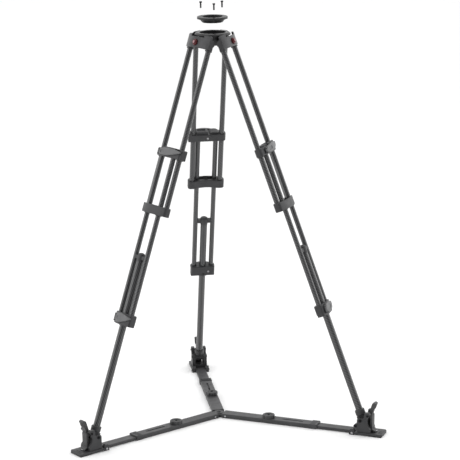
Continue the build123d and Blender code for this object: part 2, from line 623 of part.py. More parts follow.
def collar():
    """A rim round the channel's outer end."""
    half = CHANNEL_WIDTH / 2 + COLLAR_RIM
    low = CHANNEL_END - COLLAR_LENGTH
    outside = block((-half, half), (low, CHANNEL_END + 6), (0, CHANNEL_HEIGHT + COLLAR_RIM))
    outside = chamfer(outside.edges().filter_by(Axis.Y) + outside.edges().group_by(Axis.Y)[-1], 1.4)
    channel_half = CHANNEL_WIDTH / 2
    inside = block((-channel_half, channel_half), (low - 1, CHANNEL_END), (-1, CHANNEL_HEIGHT))
    arm_half = ARM_WIDTH / 2 + 0.4
    mouth = block(
        (-arm_half, arm_half),
        (CHANNEL_END - 1, CHANNEL_END + 8),
        (ARM_LIFT - 0.4, ARM_LIFT + ARM_HEIGHT + 0.4),
    )
    return outside - inside - mouth


def round_the_hub(piece):
    return [Rot(0, 0, azimuth) * piece for azimuth in LEG_AZIMUTHS.values()]


def spreader_arm():
    """Slides in the channel and is pinned between the base plate's ears."""
    inner = CHANNEL_END - ARM_OVERLAP
    outer = ANKLE_RADIUS - PLATE_INNER + 20
    half = ARM_WIDTH / 2
    body = block((-half, half), (inner, outer), (ARM_LIFT, ARM_LIFT + ARM_HEIGHT))
    body = chamfer(body.edges().filter_by(Axis.Y), 1.2)
    pin_out = ANKLE_RADIUS - PLATE_INNER + 12
    return body - cross_rod(ARM_PIN_R + FIXED_CLEARANCE, 90, pin_out, ARM_PIN_UP)


def base_plate():
    """The foot stands on it; ears and a pin hold the arm, a rubber sole is under its outer end."""
    half = PLATE_WIDTH / 2
    inner = ANKLE_RADIUS - PLATE_INNER
    outer = ANKLE_RADIUS + PLATE_OUTER
    ear_end = inner + 21
    plate = block((-half, half), (ear_end + FIXED_CLEARANCE, outer), (PLATE_LIFT, PLATE_TOP))
    plate = chamfer(plate.edges().group_by(Axis.Y)[-1].filter_by(Axis.Z), 5)
    plate = chamfer(plate.edges().group_by(Axis.Z)[-1], 1.2)
    pieces = [plate]
    ear_in = ARM_WIDTH / 2 + 0.4
    pin_out = inner + 12
    bore = cross_rod(ARM_PIN_R + FIXED_CLEARANCE, 90, pin_out, ARM_PIN_UP)
    for side in (-1, 1):
        ear = block(sorted((side * ear_in, side * half)), (inner, ear_end), (0.5, EAR_TOP))
        ear = chamfer(ear.edges().filter_by(Axis.X).group_by(Axis.Z)[-1], 6)
        pieces.append(ear - bore)
    pieces.append(cross_rod(ARM_PIN_R, PLATE_WIDTH + 5, pin_out, ARM_PIN_UP))
    sole = block((-half + 1, half - 1), (outer - SOLE_LENGTH, outer - 1), (0, PLATE_LIFT))
    pieces.append(chamfer(sole.edges().group_by(Axis.Z)[0], 1.0))
    return pieces


def lock_knob():
    """A round knob with finger flats on top of the channel."""
    disc = rod(KNOB_R, KNOB_HEIGHT, 0, KNOB_RADIUS_OUT, CHANNEL_HEIGHT + 0.3)
    disc = fillet(disc.edges().group_by(Axis.Z)[-1], 3.0)
    stem = rod(KNOB_STEM_R, 3.3, 0, KNOB_RADIUS_OUT, CHANNEL_HEIGHT - 3.0)
    grips = 8
    for i in range(grips):
        turn = 360 / grips * (i + 0.5)
        dent = rod(7, KNOB_HEIGHT + 2, KNOB_R + 4.5, 0, CHANNEL_HEIGHT)
        disc -= Pos(0, KNOB_RADIUS_OUT, 0) * Rot(0, 0, turn) * dent
    recess = rod(11, 3, 0, KNOB_RADIUS_OUT, CHANNEL_HEIGHT + KNOB_HEIGHT - 1.2)
    return disc + stem - recess


# ------------------------------------------------------------------ writing the nodes
def write(name, pieces):
    """One STEP file for one node, of one solid or a group of separate solids."""
    solids = [s for piece in pieces for s in piece.solids()]
    shape = solids[0] if len(solids) == 1 else Compound(children=solids)
    export_step(shape, os.path.join("parts", name + ".step"))


def write_leg(name, azimuth):
    tilted = {
        "shoulder": [shoulder()],
        "hinge_cap": hinge_cap(),
        "outer_tubes": outer_tubes(),
        "bridge": [bridge()],
        "slider_clamp": [slider_clamp()],
        "upper_lever": [lock_lever(SLIDER_PLAN, SLIDER_STATION, UPPER_LEVER_HINGE, 20, 28, -72)],
        "inner_tubes": inner_tubes(),
        "lower_clamp": [lower_clamp()],
        "lower_lever": [lock_lever(CLAMP_PLAN, CLAMP_STATION, LOWER_LEVER_HINGE, 34, 34, -50)],
        "lower_tube": lower_tube(),
        "tube_guide": [tube_guide()],
        "ankle_socket": [ankle_socket()],
    }
    upright = {
        "foot": foot(),
        "foot_latch": [foot_latch()],
        "spreader_arm": [spreader_arm()],
        "base_plate": base_plate(),
        "lock_knob": [lock_knob()],
    }
    for node, pieces in tilted.items():
        write(f"{name}_{node}", [place_leg(p, azimuth) for p in pieces])
    for node, pieces in upright.items():
        write(f"{name}_{node}", [place_arm(p, azimuth) for p in pieces])


def main():
    os.makedirs("parts", exist_ok=True)
    write("crown_casting", [crown_casting()])
    write("hinge_pins", hinge_pins())
    write("adapter_ring", [adapter_ring()])
    write("adapter_screws", adapter_screws())
    write("spreader_hub", [spreader_hub()])
    write("hub_pins", hub_pins())
    write("spreader_channels", round_the_hub(channel()))
    write("channel_collars", round_the_hub(collar()))
    for name, azimuth in LEG_AZIMUTHS.items():
        write_leg(name, azimuth)


main()
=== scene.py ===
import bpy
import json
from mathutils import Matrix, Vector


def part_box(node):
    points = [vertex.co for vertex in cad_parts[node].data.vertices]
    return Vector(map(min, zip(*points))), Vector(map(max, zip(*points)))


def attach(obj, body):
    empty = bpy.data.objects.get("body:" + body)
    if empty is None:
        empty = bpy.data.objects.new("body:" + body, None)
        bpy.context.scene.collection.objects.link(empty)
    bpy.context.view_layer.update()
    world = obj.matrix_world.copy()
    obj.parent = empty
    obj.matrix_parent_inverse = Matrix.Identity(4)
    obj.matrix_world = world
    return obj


bl_info = {
    "name": "Twin-tube video tripod",
    "version": (1, 0, 0),
    "blender": (4, 5, 0),
    "location": "View3D > Sidebar > Tripod",
    "description": "Finishes and small parts of a twin-tube tripod with a ground spreader",
    "category": "Object",
}

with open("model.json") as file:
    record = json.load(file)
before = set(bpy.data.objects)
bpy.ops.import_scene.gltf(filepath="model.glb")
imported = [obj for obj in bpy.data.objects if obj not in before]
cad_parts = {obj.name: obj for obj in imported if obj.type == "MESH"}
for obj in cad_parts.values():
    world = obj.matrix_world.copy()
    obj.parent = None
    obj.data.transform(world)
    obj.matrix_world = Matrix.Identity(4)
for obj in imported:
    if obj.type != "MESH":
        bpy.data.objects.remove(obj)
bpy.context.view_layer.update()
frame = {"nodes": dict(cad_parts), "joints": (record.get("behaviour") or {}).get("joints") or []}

import json
from math import cos, pi, radians, sin

import bmesh
import bpy
from bpy.props import FloatProperty, FloatVectorProperty, IntProperty, PointerProperty
from bpy.types import Operator, Panel, PropertyGroup
from mathutils import Matrix, Vector

# ------------------------------------------------------------------ what the frame says
JOINTS = {joint["name"]: joint for joint in frame["joints"]}
LEGS = ("back", "left", "right")
MM = 0.001
UP = Vector((0, 0, 1))

# ------------------------------------------------------------------ places on the CAD pieces
BOWL_RADIUS = 50 * MM
BOWL_LIP_HEIGHT = 0.15 * MM
THROAT_LIP_RADIUS = 38.2 * MM       # just outside the adapter ring's bore
LEVER_PIN_REACH = (("upper", 10.4 * MM), ("lower", 14.4 * MM))      # joint to each end of its pin
ARM_PIN_IN = 12 * MM                # arm pin from the base plate's inner end
ARM_PIN_UP = 8 * MM                 # arm pin above the floor
PLATE_TOP = 12 * MM                 # top of the base plate above the floor
PLATE_LOW = 3.5 * MM                # its underside, where the sole starts
HUB_PIN_HALF = 24.5 * MM            # half the length of a hub pin
HUB_PIN_OUT = 36 * MM
HUB_PIN_UP = 8.5 * MM
CHANNEL_END = 407.5 * MM            # mouth of a channel from the tripod's axis
CAD_SHARP_ABOVE = radians(24)       # CAD edges sharper than this stay sharp


def axes_matrix(across, out, up, origin):
    """The matrix whose X, Y and Z axes and origin are these."""
    return Matrix.Translation(origin) @ Matrix((across, out, up)).transposed().to_4x4()


def leg_frame(leg):
    """Leg to world: origin on the hinge pin, X along the pin, Y out of the leg's front, Z up the leg."""
    fold = JOINTS[f"{leg}_leg_fold"]
    across = Vector(fold["axis"]).normalized()
    up = -Vector(JOINTS[f"{leg}_middle_slide"]["axis"]).normalized()
    return axes_matrix(across, up.cross(across), up, Vector(fold["pos_m"]))


def arm_frame(leg):
    """Spreader arm to world: origin on the floor under the crown, Y out along the arm."""
    out = Vector(JOINTS[f"{leg}_arm_telescope"]["axis"]).normalized()
    return axes_matrix(out.cross(UP), out, UP, Vector())


LEG_FRAMES = {leg: leg_frame(leg) for leg in LEGS}
ARM_FRAMES = {leg: arm_frame(leg) for leg in LEGS}


def measured(node, base):
    """Lowest and highest corner of a CAD node in the frame that base describes."""
    inverse = base.inverted()
    points = [inverse @ vertex.co for vertex in frame["nodes"][node].data.vertices]
    low = Vector([min(point[i] for point in points) for i in range(3)])
    high = Vector([max(point[i] for point in points) for i in range(3)])
    return low, high


def tube_lines(node, base):
    """(x, y) of each tube of a node, and their radius."""
    low, high = measured(node, base)
    radius = (high.y - low.y) / 2
    middle = (high.y + low.y) / 2
    if high.x - low.x < 3 * radius:
        return [(0.0, middle)], radius
    return [(low.x + radius, middle), (high.x - radius, middle)], radius


def joint_place(joint, base):
    """A joint's position in the frame that base describes."""
    return base.inverted() @ Vector(JOINTS[joint]["pos_m"])


# ------------------------------------------------------------------ settings a user would change
def colour(name, description, value):
    return FloatVectorProperty(
        name=name, description=description, subtype="COLOR", size=3, min=0, max=1, default=value
    )


def length(name, description, value):
    return FloatProperty(
        name=name, description=description, subtype="DISTANCE", unit="LENGTH", min=0, default=value
    )


class FinishSettings(PropertyGroup):
    casting: colour("Casting", "Moulded clamps, bridges and feet", (0.026, 0.026, 0.028))
    crown: colour("Crown", "Crown plate and adapter ring", (0.006, 0.006, 0.007))
    shoulder: colour("Shoulder", "Satin shoulders of the legs", (0.045, 0.045, 0.047))
    lever: colour("Lever", "Lock levers", (0.115, 0.116, 0.118))
    tow_dark: colour("Dark tow", "Carbon tows lying across the light", (0.006, 0.006, 0.007))
    # painted sheen: the colour of tows that catch the light; the dark tow colour is the carbon's own black
    tow_sheen: colour("Light tow", "Carbon tows lying along the light", (0.060, 0.061, 0.064))
    ring: colour("Cap ring", "Anodised ring round each hinge cap", (0.085, 0.009, 0.011))
    cap: colour("Cap centre", "Bare centre of each hinge cap", (0.34, 0.20, 0.21))
    steel: colour("Steel", "Pins and screws", (0.42, 0.42, 0.43))
    rubber: colour("Rubber", "Soles, wipers and grips", (0.014, 0.014, 0.015))
    spreader: colour("Spreader", "Channels, arms and knobs", (0.040, 0.040, 0.042))


class DetailSettings(PropertyGroup):
    tow_width: length("Tow width", "Width of one carbon tow", 0.0030)
    wiper_width: length("Wiper width", "Wall of the wiper ring round a sliding tube", 0.0026)
    wiper_height: length("Wiper height", "How far a wiper ring stands out", 0.0022)
    wiper_gap: length("Wiper gap", "Air between a tube and its wiper ring", 0.0002)
    screw_head: length("Screw head", "Radius of a clamp screw's head", 0.0042)
    grip_ribs: IntProperty(name="Grip ribs", description="Ribs on each grip", min=2, default=6)
    knob_teeth: IntProperty(name="Knob teeth", description="Teeth round each knob", min=8, default=40)


class StageSettings(PropertyGroup):
    floor: colour("Floor", "Studio floor", (0.93, 0.93, 0.93))
    world_light: FloatProperty(name="Surround", description="Light from all round", min=0, default=1.22)
    front_light: FloatProperty(
        name="Front", description="Share of it that comes from the camera's side", min=0, max=1, default=0.2
    )
    side_light: FloatProperty(name="Side boxes", description="Watts of a side light", min=0, default=34)
    top_light: FloatProperty(name="Top box", description="Watts of the overhead light", min=0, default=30)


def finish_settings():
    return bpy.context.scene.tripod_finish


def detail_settings():
    return bpy.context.scene.tripod_detail


# ------------------------------------------------------------------ mesh tools
def bridge_rings(bm, low, high):
    """Faces between two rings of vertices; a ring of one vertex closes to a point."""
    for i in range(max(len(low), len(high))):
        corners = [
            low[i % len(low)],
            low[(i + 1) % len(low)],
            high[(i + 1) % len(high)],
            high[i % len(high)],
        ]
        bm.faces.new(list(dict.fromkeys(corners)))


def turned(bm, profile, matrix, steps=40, closed=False):
    """Turn (radius, height) points round matrix's Z axis; a third value makes that ring six-sided."""
    rings = []
    for radius, height, *six_sided in profile:
        ring = []
        for i in range(steps if radius else 1):
            angle = 2 * pi * i / steps
            reach = radius
            if six_sided:
                reach *= cos(pi / 6) / cos((angle + pi / 6) % (pi / 3) - pi / 6)
            ring.append(bm.verts.new(matrix @ Vector((reach * cos(angle), reach * sin(angle), height))))
        rings.append(ring)
    pairs = list(zip(rings, rings[1:]))
    if closed:
        pairs.append((rings[-1], rings[0]))
    for low, high in pairs:
        bridge_rings(bm, low, high)


def rounded_block(bm, low, high, matrix, edge=0.5 * MM, segments=2):
    """A block with rounded edges between two corners."""
    low, high = Vector(low), Vector(high)
    sized = Matrix.Diagonal((*(high - low), 1))
    placed = matrix @ Matrix.Translation((low + high) / 2) @ sized
    made = bmesh.ops.create_cube(bm, size=1, matrix=placed)
    edges = list({edge_line for vertex in made["verts"] for edge_line in vertex.link_edges})
    bmesh.ops.bevel(bm, geom=edges, offset=edge, segments=segments, affect="EDGES", profile=0.5)


def facing(base, point, direction):
    """A matrix at a point of base's frame, its Z axis along a direction of that frame."""
    turn = UP.rotation_difference(Vector(direction)).to_matrix().to_4x4()
    return base @ Matrix.Translation(point) @ turn


def make_piece(name, bm, body, material, sharp_above=32):
    """Close a mesh as a piece that rides on a body, smooth but for its sharp edges."""
    bmesh.ops.recalc_face_normals(bm, faces=bm.faces)
    mesh = bpy.data.meshes.new(name)
    bm.to_mesh(mesh)
    bm.free()
    mesh.shade_smooth()
    mesh.set_sharp_from_angle(angle=radians(sharp_above))
    mesh.materials.append(material)
    piece = bpy.data.objects.new(name, mesh)
    bpy.context.scene.collection.objects.link(piece)
    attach(piece, body)
    return piece


def socket_screw(bm, matrix, radius, height):
    """A low screw head with a six-sided socket, standing on matrix's XY plane."""
    socket = radius * 0.52
    edge = radius * 0.14
    turned(
        bm,
        [
            (radius, -height * 0.3),
            (radius, height - edge),
            (radius - edge * 0.3, height - edge * 0.3),
            (radius - edge, height),
            (socket * 1.12, height),
            (socket, height - edge * 0.4, True),
            (socket, height * 0.2, True),
            (0, height * 0.05),
        ],
        matrix,
        steps=36,
    )


def domed_head(bm, matrix, radius, height):
    """A domed pin head with a small turned dimple, standing on matrix's XY plane."""
    curve = [(radius * cos(a), height * (0.35 + 0.65 * sin(a))) for a in (i * pi / 16 for i in range(7))]
    dimple = radius * 0.22
    turned(
        bm,
        [
            (radius, -height * 0.4),
            (radius, height * 0.2),
            *curve,
            (dimple, height),
            (dimple * 0.8, height * 0.8),
            (0, height * 0.72),
        ],
        matrix,
        steps=36,
    )


def ring_lip(bm, matrix, inner, wall, height):
    """A soft-edged ring round matrix's Z axis, standing on its XY plane."""
    edge = min(wall, height) * 0.3
    outer = inner + wall
    turned(
        bm,
        [
            (inner, -height * 0.2),
            (inner, height - edge),
            (inner + edge, height),
            (outer - edge, height),
            (outer, height - edge),
            (outer + edge * 0.4, -height * 0.2),
        ],
        matrix,
        steps=44,
        closed=True,
    )


# ------------------------------------------------------------------ material tools
class Recipe:
    """Short calls that add nodes to one material."""

    def __init__(self, name, **sockets):
        self.material = bpy.data.materials.new(name)
        self.material.use_nodes = True
        self.tree = self.material.node_tree
        self.shader = self.tree.nodes["Principled BSDF"]
        for socket, value in sockets.items():
            self.shader.inputs[socket.replace("_", " ")].default_value = value

    def put(self, socket, value):
        """Link an output, or set a plain value."""
        if isinstance(value, bpy.types.NodeSocket):
            self.tree.links.new(value, socket)
        else:
            socket.default_value = value

    def add(self, kind, inputs=(), **settings):
        node = self.tree.nodes.new(kind)
        for name, value in settings.items():
            setattr(node, name, value)
        for name, value in dict(inputs).items():
            self.put(node.inputs[name], value)
        return node

    def maths(self, operation, first, second=0.0, third=0.0):
        node = self.add("ShaderNodeMath", operation=operation)
        for socket, value in zip(node.inputs, (first, second, third)):
            self.put(socket, value)
        return node.outputs[0]

    def points(self, base=None):
        """Points of the object, in metres, in the frame that base describes."""
        place = self.add("ShaderNodeTexCoord").outputs["Object"]
        if base is None:
            return place
        mapping = self.add("ShaderNodeMapping", vector_type="TEXTURE")
        mapping.inputs["Location"].default_value = base.to_translation()
        mapping.inputs["Rotation"].default_value = base.to_euler()
        self.put(mapping.inputs["Vector"], place)
        return mapping.outputs["Vector"]

    def noise(self, size, detail=2.0, vector=None, roughness=0.5):
        """Soft noise whose blotches are about size metres across."""
        vector = vector or self.points()
        inputs = {"Vector": vector, "Scale": 1 / size, "Detail": detail, "Roughness": roughness}
        return self.add("ShaderNodeTexNoise", inputs).outputs["Fac"]

    def between(self, value, low, high, to_low=0.0, to_high=1.0):
        """Carry value from one range to another, clamped."""
        inputs = {"Value": value, "From Min": low, "From Max": high, "To Min": to_low, "To Max": to_high}
        return self.add("ShaderNodeMapRange", inputs).outputs["Result"]

    def mix(self, factor, first, second):
        node = self.add("ShaderNodeMix", data_type="RGBA")
        for socket, value in zip((node.inputs[0], node.inputs[6], node.inputs[7]), (factor, first, second)):
            self.put(socket, value)
        return node.outputs[2]

    def rounded(self, radius):
        """The surface direction with edges rounded off to a radius."""
        return self.add("ShaderNodeBevel", {"Radius": radius}, samples=6).outputs["Normal"]

    def worn_and_lit_edges(self, radius, low, high):
        """1 on rounded edges, which callers lighten partly as wear and partly as a painted highlight; 0
        elsewhere, broken up by noise.
        """
        true_normal = self.add("ShaderNodeNewGeometry").outputs["Normal"]
        dot = self.add("ShaderNodeVectorMath", operation="DOT_PRODUCT")
        self.put(dot.inputs[0], self.rounded(radius))
        self.put(dot.inputs[1], true_normal)
        edge = self.between(dot.outputs["Value"], 1 - low, 1 - high)
        return self.maths("MULTIPLY", edge, self.between(self.noise(0.006, 3), 0.35, 0.65))

    def bump(self, height, strength, depth, normal=None):
        inputs = {"Height": height, "Strength": strength, "Distance": depth}
        if normal is not None:
            inputs["Normal"] = normal
        return self.add("ShaderNodeBump", inputs).outputs["Normal"]

    def finish(self, base_color, roughness, normal):
        for name, value in (("Base Color", base_color), ("Roughness", roughness), ("Normal", normal)):
            self.put(self.shader.inputs[name], value)
        return self.material


def rgba(value, gain=1.0):
    return (*(channel * gain for channel in value[:3]), 1.0)


# ------------------------------------------------------------------ finishes
def grained(name, value, grain, depth, rough, edge_wear_and_highlight=2.2, radius=0.9 * MM, **sockets):
    """Moulded or sprayed surface: fine grain, faint clouds in its colour, edges lighter, partly from wear and
    partly as a painted highlight.
    """
    recipe = Recipe(name, **sockets)
    clouds = recipe.between(recipe.noise(0.045, 3), 0.3, 0.7)
    plain = recipe.mix(clouds, rgba(value, 0.82), rgba(value, 1.2))
    edges = recipe.worn_and_lit_edges(radius, 0.01, 0.22)
    # edges lightened towards the edge factor: partly rubbed wear, partly a painted highlight where rounded
    # edges catch the light
    shown = recipe.mix(recipe.maths("MULTIPLY", edges, 0.7), plain, rgba(value, edge_wear_and_highlight))
    fine = recipe.noise(grain, 2)
    smudges = recipe.between(recipe.noise(0.02, 4), 0.3, 0.75, rough - 0.06, rough + 0.07)
    roughness = recipe.maths("MULTIPLY_ADD", edges, -0.08, smudges)
    return recipe.finish(shown, roughness, recipe.bump(fine, 0.35, depth, recipe.rounded(radius)))


def casting_finish():
    return grained("moulded_casting", finish_settings().casting, 0.8 * MM, 0.05 * MM, 0.46)


def spreader_finish():
    return grained("spreader_mouldings", finish_settings().spreader, 1.1 * MM, 0.05 * MM, 0.5)


def crown_finish():
    value = finish_settings().crown
    return grained("crown_anodised", value, 0.35 * MM, 0.02 * MM, 0.42, 3.0, 0.7 * MM, Metallic=0.1)


def shoulder_finish():
    value = finish_settings().shoulder
    return grained("shoulder_satin", value, 0.4 * MM, 0.025 * MM, 0.34, 3.4, 1.6 * MM, Metallic=0.55)


def lever_finish():
    return grained("lever_moulding", finish_settings().lever, 0.6 * MM, 0.04 * MM, 0.42, 1.5, 1.0 * MM)


def rubber_finish():
    """Soft black rubber: fine pits and a dusty bloom."""
    recipe = Recipe("rubber", Sheen_Weight=0.25, Sheen_Roughness=0.6)
    value = finish_settings().rubber
    bloom = recipe.between(recipe.noise(0.012, 4), 0.4, 0.72)
    shown = recipe.mix(bloom, rgba(value), rgba(value, 2.4))
    pits = recipe.noise(0.5 * MM, 3)
    roughness = recipe.between(bloom, 0, 1, 0.68, 0.86)
    return recipe.finish(shown, roughness, recipe.bump(pits, 0.5, 0.08 * MM, recipe.rounded(0.5 * MM)))


def steel_finish():
    """Turned steel: fine scratches and a few darker stains."""
    recipe = Recipe("turned_steel", Metallic=1.0)
    value = finish_settings().steel
    stains = recipe.between(recipe.noise(0.003, 3), 0.35, 0.75)
    shown = recipe.mix(stains, rgba(value), rgba(value, 0.7))
    lines = recipe.noise(0.25 * MM, 4)
    roughness = recipe.between(stains, 0, 1, 0.22, 0.38)
    return recipe.finish(shown, roughness, recipe.bump(lines, 0.25, 0.01 * MM, recipe.rounded(0.3 * MM)))


def black_screw_finish():
    """Blackened screws: oily sheen, edges grey, partly from wear and partly as a painted highlight."""
    value = finish_settings().crown
    return grained("black_oxide", value, 0.4 * MM, 0.015 * MM, 0.3, 8.0, 0.4 * MM, Metallic=0.8)


def woven_tube(name, base, line_x, line_y, radius):
    """Twill of carbon tows wound round one tube, or round the two at plus and minus line_x; tows on top of
    the weave, brightest on their crowns, carry a painted sheen.
    """
    finish, detail = finish_settings(), detail_settings()
    recipe = Recipe(name, Coat_Weight=0.7, Coat_Roughness=0.12, IOR=1.5)
    split = recipe.add("ShaderNodeSeparateXYZ", {"Vector": recipe.points(base)})
    across, out, along = split.outputs
    if line_x > radius:
        across = recipe.maths("ABSOLUTE", across)
    across = recipe.maths("SUBTRACT", across, line_x)
    out = recipe.maths("SUBTRACT", out, line_y)
    tows = 4 * max(2, round(2 * pi * radius / detail.tow_width / 4))
    around = recipe.maths("MULTIPLY", recipe.maths("ARCTAN2", out, across), tows / (2 * pi))
    down = recipe.maths("DIVIDE", along, detail.tow_width)
    column = recipe.maths("FLOOR", around)
    row = recipe.maths("FLOOR", down)
    step = recipe.maths("FLOORED_MODULO", recipe.maths("ADD", column, row), 4.0)
    over = recipe.maths("LESS_THAN", step, 1.5)
    crown_around = recipe.maths("SINE", recipe.maths("MULTIPLY", recipe.maths("FRACT", around), pi))
    crown_down = recipe.maths("SINE", recipe.maths("MULTIPLY", recipe.maths("FRACT", down), pi))
    under = recipe.maths("SUBTRACT", 1.0, over)
    height = recipe.maths("MULTIPLY", crown_around, over)
    height = recipe.maths("MULTIPLY_ADD", crown_down, under, height)
    fibres = recipe.between(recipe.noise(1.6 * MM, 5, roughness=0.7), 0.3, 0.7, 0.75, 1.25)
    # painted sheen and highlight: tows on top of the weave, and most of all the crown of each tow, are
    # lightened towards the sheen colour
    lit = recipe.maths("MULTIPLY", recipe.between(height, 0.0, 0.7, 0.35, 1.0), fibres)
    lit = recipe.maths("MULTIPLY", lit, recipe.between(over, 0, 1, 0.08, 1.0))
    shown = recipe.mix(lit, rgba(finish.tow_dark), rgba(finish.tow_sheen))
    roughness = recipe.between(over, 0, 1, 0.46, 0.34)
    return recipe.finish(shown, roughness, recipe.bump(height, 0.3, 0.12 * MM))


def hinge_cap_finish(leg):
    """A red ring round a bare centre that stands proud of it."""
    finish = finish_settings()
    base = LEG_FRAMES[leg]
    low, high = measured(f"{leg}_hinge_cap", base)
    middle = (low + high) / 2
    recipe = Recipe(f"{leg}_hinge_cap", Metallic=0.35)
    split = recipe.add("ShaderNodeSeparateXYZ", {"Vector": recipe.points(base)})
    across, out, along = split.outputs
    rise = recipe.maths("SUBTRACT", along, middle.z)
    square = recipe.maths("MULTIPLY_ADD", rise, rise, recipe.maths("MULTIPLY", across, across))
    reach = recipe.maths("SQRT", square)
    centre_edge = (high.z - low.z) / 2 * 0.46
    centre = recipe.maths("LESS_THAN", reach, centre_edge)
    edges = recipe.worn_and_lit_edges(0.8 * MM, 0.01, 0.2)
    # ring edges lightened: partly wear, partly a painted highlight
    ring = recipe.mix(edges, rgba(finish.ring), rgba(finish.ring, 2.4))
    shown = recipe.mix(centre, ring, rgba(finish.cap))
    turning = recipe.maths("SINE", recipe.maths("MULTIPLY", reach, 2 * pi / (0.7 * MM)))
    roughness = recipe.between(recipe.noise(0.004, 3), 0.3, 0.7, 0.26, 0.4)
    return recipe.finish(shown, roughness, recipe.bump(turning, 0.15, 0.02 * MM, recipe.rounded(0.7 * MM)))


def base_plate_finish():
    """Moulded plate above, rubber sole below."""
    finish = finish_settings()
    recipe = Recipe("base_plate")
    split = recipe.add("ShaderNodeSeparateXYZ", {"Vector": recipe.points()})
    is_sole = recipe.maths("LESS_THAN", split.outputs["Z"], PLATE_LOW)
    edges = recipe.worn_and_lit_edges(1.0 * MM, 0.01, 0.2)
    # plate edges lightened: partly wear, partly a painted highlight
    plate = recipe.mix(edges, rgba(finish.casting, 1.05), rgba(finish.casting, 3.0))
    shown = recipe.mix(is_sole, plate, rgba(finish.rubber))
    pebbles = recipe.add("ShaderNodeTexVoronoi", {"Vector": recipe.points(), "Scale": 1 / (1.6 * MM)})
    roughness = recipe.between(is_sole, 0, 1, 0.48, 0.8)
    normal = recipe.bump(pebbles.outputs["Distance"], 0.35, 0.12 * MM, recipe.rounded(0.9 * MM))
    return recipe.finish(shown, roughness, normal)


def wear_material(nodes, material):
    """Put a material on every slot of some CAD nodes."""
    for node in nodes:
        slots = frame["nodes"][node].data.materials
        slots.clear()
        slots.append(material)
        frame["nodes"][node].data.shade_smooth()
        frame["nodes"][node].data.set_sharp_from_angle(angle=CAD_SHARP_ABOVE)


FINISHES = {}


def shared(make):
    """Each common finish is made once."""
    if make.__name__ not in FINISHES:
        FINISHES[make.__name__] = make()
    return FINISHES[make.__name__]


def each_leg(*names):
    return [f"{leg}_{name}" for leg in LEGS for name in names]


# ------------------------------------------------------------------ crown
class TRIPOD_OT_crown(Operator):
    """Finish the crown, the adapter ring, their lips and the screws"""
    bl_idname = "tripod.crown"
    bl_label = "Crown and adapter"

    def execute(self, context):
        wear_material(["crown_casting", "adapter_ring"], shared(crown_finish))
        wear_material(["adapter_screws"], shared(black_screw_finish))
        wear_material(["hinge_pins"], shared(steel_finish))
        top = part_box("crown_casting")[1].z
        bm = bmesh.new()
        ring_lip(bm, Matrix.Translation((0, 0, top)), BOWL_RADIUS + 0.4 * MM, 3.2 * MM, BOWL_LIP_HEIGHT)
        make_piece("bowl_lip", bm, "crown", shared(black_screw_finish))
        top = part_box("adapter_ring")[1].z
        bm = bmesh.new()
        ring_lip(bm, Matrix.Translation((0, 0, top)), THROAT_LIP_RADIUS, 1.6 * MM, 0.5 * MM)
        make_piece("adapter_lip", bm, "adapter_ring", shared(shoulder_finish))
        return {"FINISHED"}


# ------------------------------------------------------------------ shoulders and their caps
class TRIPOD_OT_shoulders(Operator):
    """Finish the shoulders and the caps on their hinges"""
    bl_idname = "tripod.shoulders"
    bl_label = "Shoulders"

    def execute(self, context):
        wear_material(each_leg("shoulder"), shared(shoulder_finish))
        for leg in LEGS:
            wear_material([f"{leg}_hinge_cap"], hinge_cap_finish(leg))
        return {"FINISHED"}


# ------------------------------------------------------------------ tubes
class TRIPOD_OT_tubes(Operator):
    """Weave the carbon tubes and put wiper rings where they slide"""
    bl_idname = "tripod.tubes"
    bl_label = "Tubes"

    def execute(self, context):
        for leg in LEGS:
            base = LEG_FRAMES[leg]
            for node in ("outer_tubes", "inner_tubes", "lower_tube"):
                lines, radius = tube_lines(f"{leg}_{node}", base)
                x, y = lines[-1]
                wear_material([f"{leg}_{node}"], woven_tube(f"{leg}_{node}_weave", base, x, y, radius))
            self.wipers(leg)
        return {"FINISHED"}

    def wipers(self, leg):
        """Rubber rings on the faces that a tube slides through."""
        base = LEG_FRAMES[leg]
        detail = detail_settings()
        sliding = (
            ("slider_clamp", "outer_tubes", "middle"),
            ("bridge", "inner_tubes", "leg"),
            ("lower_clamp", "lower_tube", "middle"),
        )
        for casting, tubes, body in sliding:
            lines, radius = tube_lines(f"{leg}_{tubes}", base)
            face = measured(f"{leg}_{casting}", base)[0].z
            bm = bmesh.new()
            for x, y in lines:
                under = facing(base, (x, y, face), (0, 0, -1))
                ring_lip(bm, under, radius + detail.wiper_gap, detail.wiper_width, detail.wiper_height)
            make_piece(f"{leg}_{casting}_wipers", bm, f"{leg}_{body}", shared(rubber_finish))


